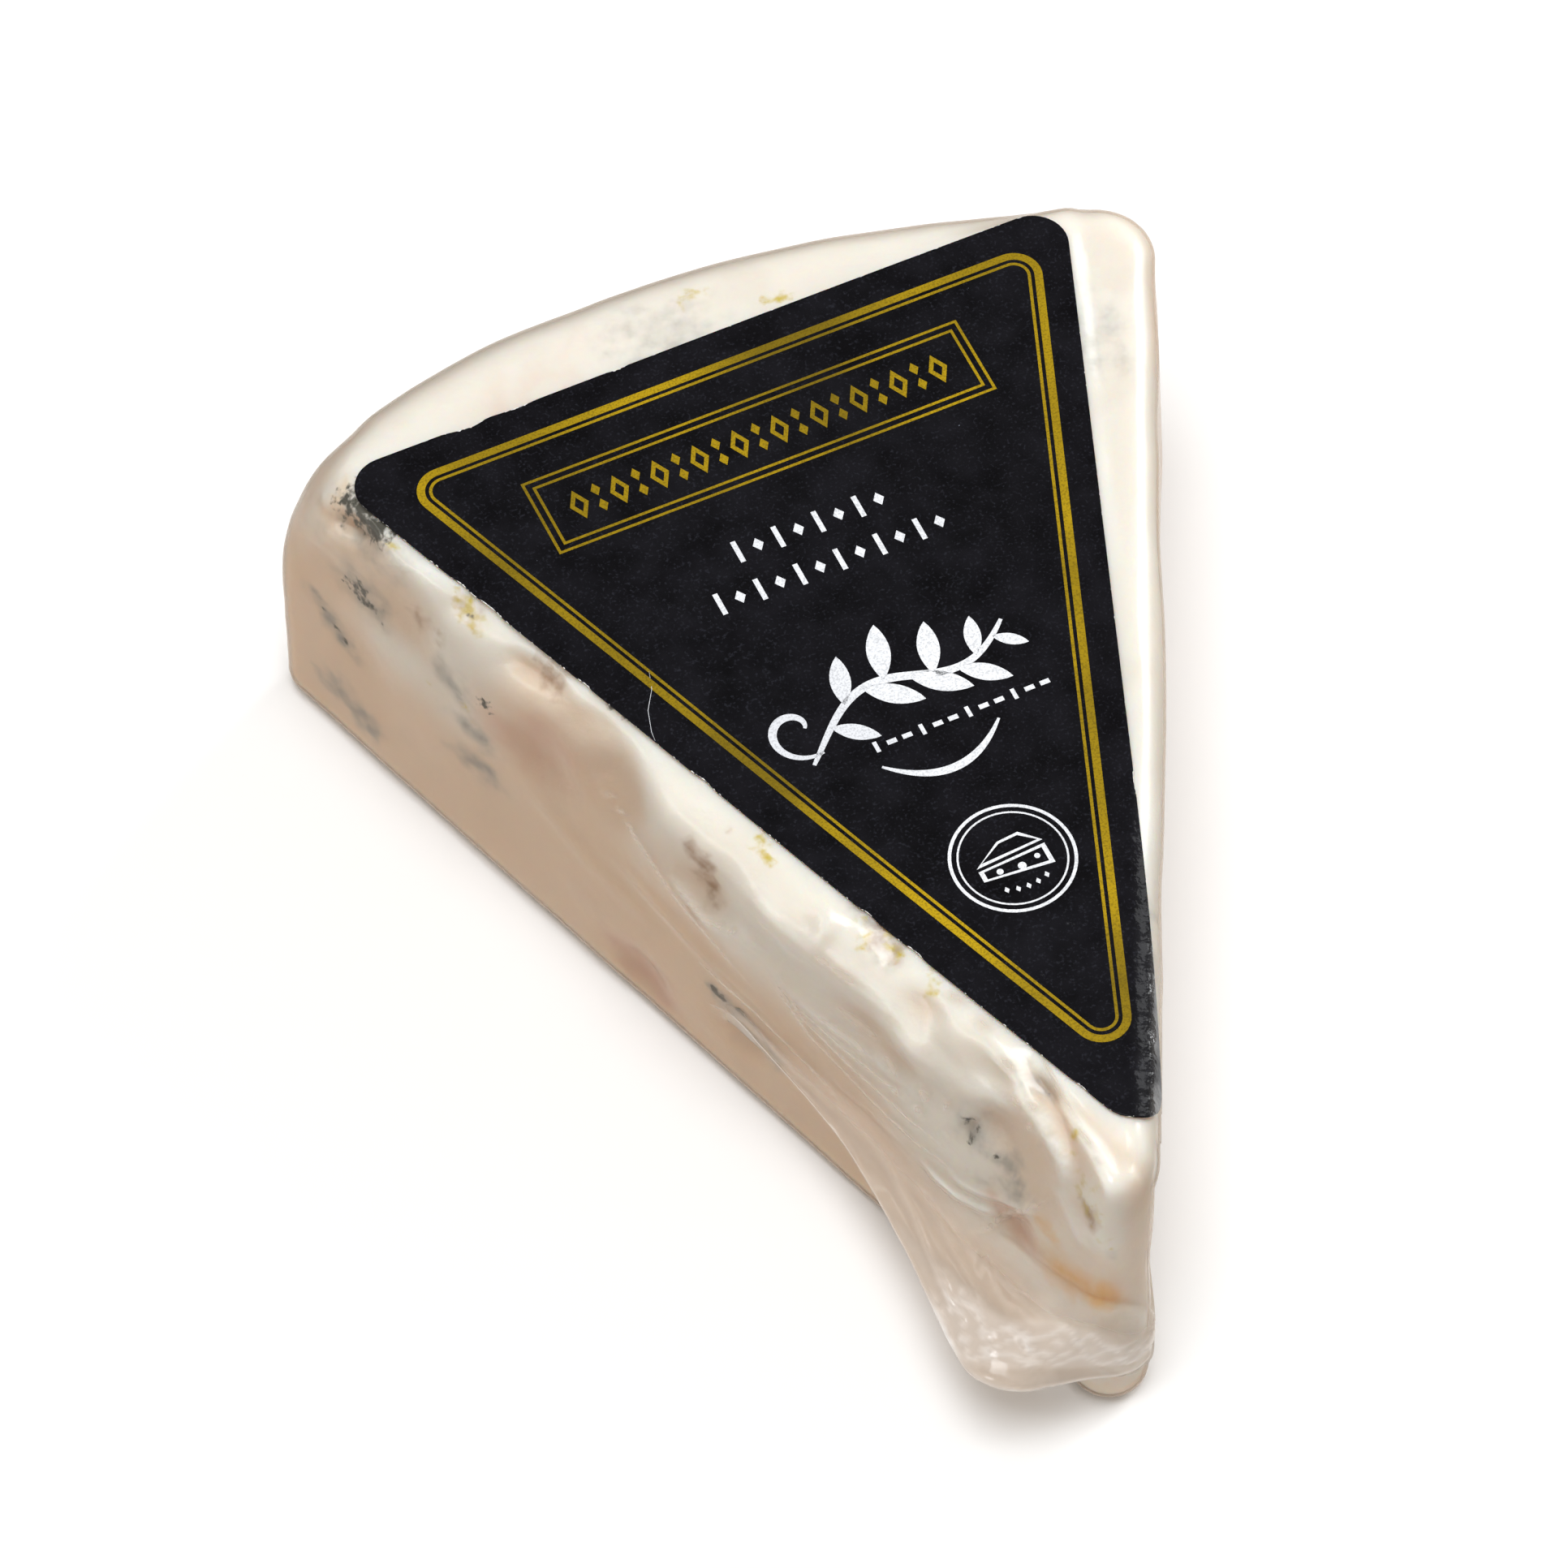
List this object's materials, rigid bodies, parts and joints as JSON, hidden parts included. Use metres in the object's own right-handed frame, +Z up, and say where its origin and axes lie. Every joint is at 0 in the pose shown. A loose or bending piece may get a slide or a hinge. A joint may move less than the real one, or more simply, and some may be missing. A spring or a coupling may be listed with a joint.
{
  "type": "packed cheese wedge",
  "caption": "Wedge of blue-veined cheese in clear skin-tight film, with a welded tail of film at its point and a dark paper label on top.",
  "frame": {"origin": "middle of the underside of the pack's box, on the surface that it lies on", "axes": "+Z up, +Y from the point of the wedge towards its curved rind side, +X to the right of that"},
  "size_m": [0.0888, 0.117, 0.0372],
  "materials": {
    "cheese": "satin",
    "clear_film": "gloss",
    "label_paper": "satin"
  },
  "bodies": {
    "root": {"cheese_wedge": "cheese", "film_wrap": "clear_film", "label": "label_paper"}
  },
  "joints": []
}
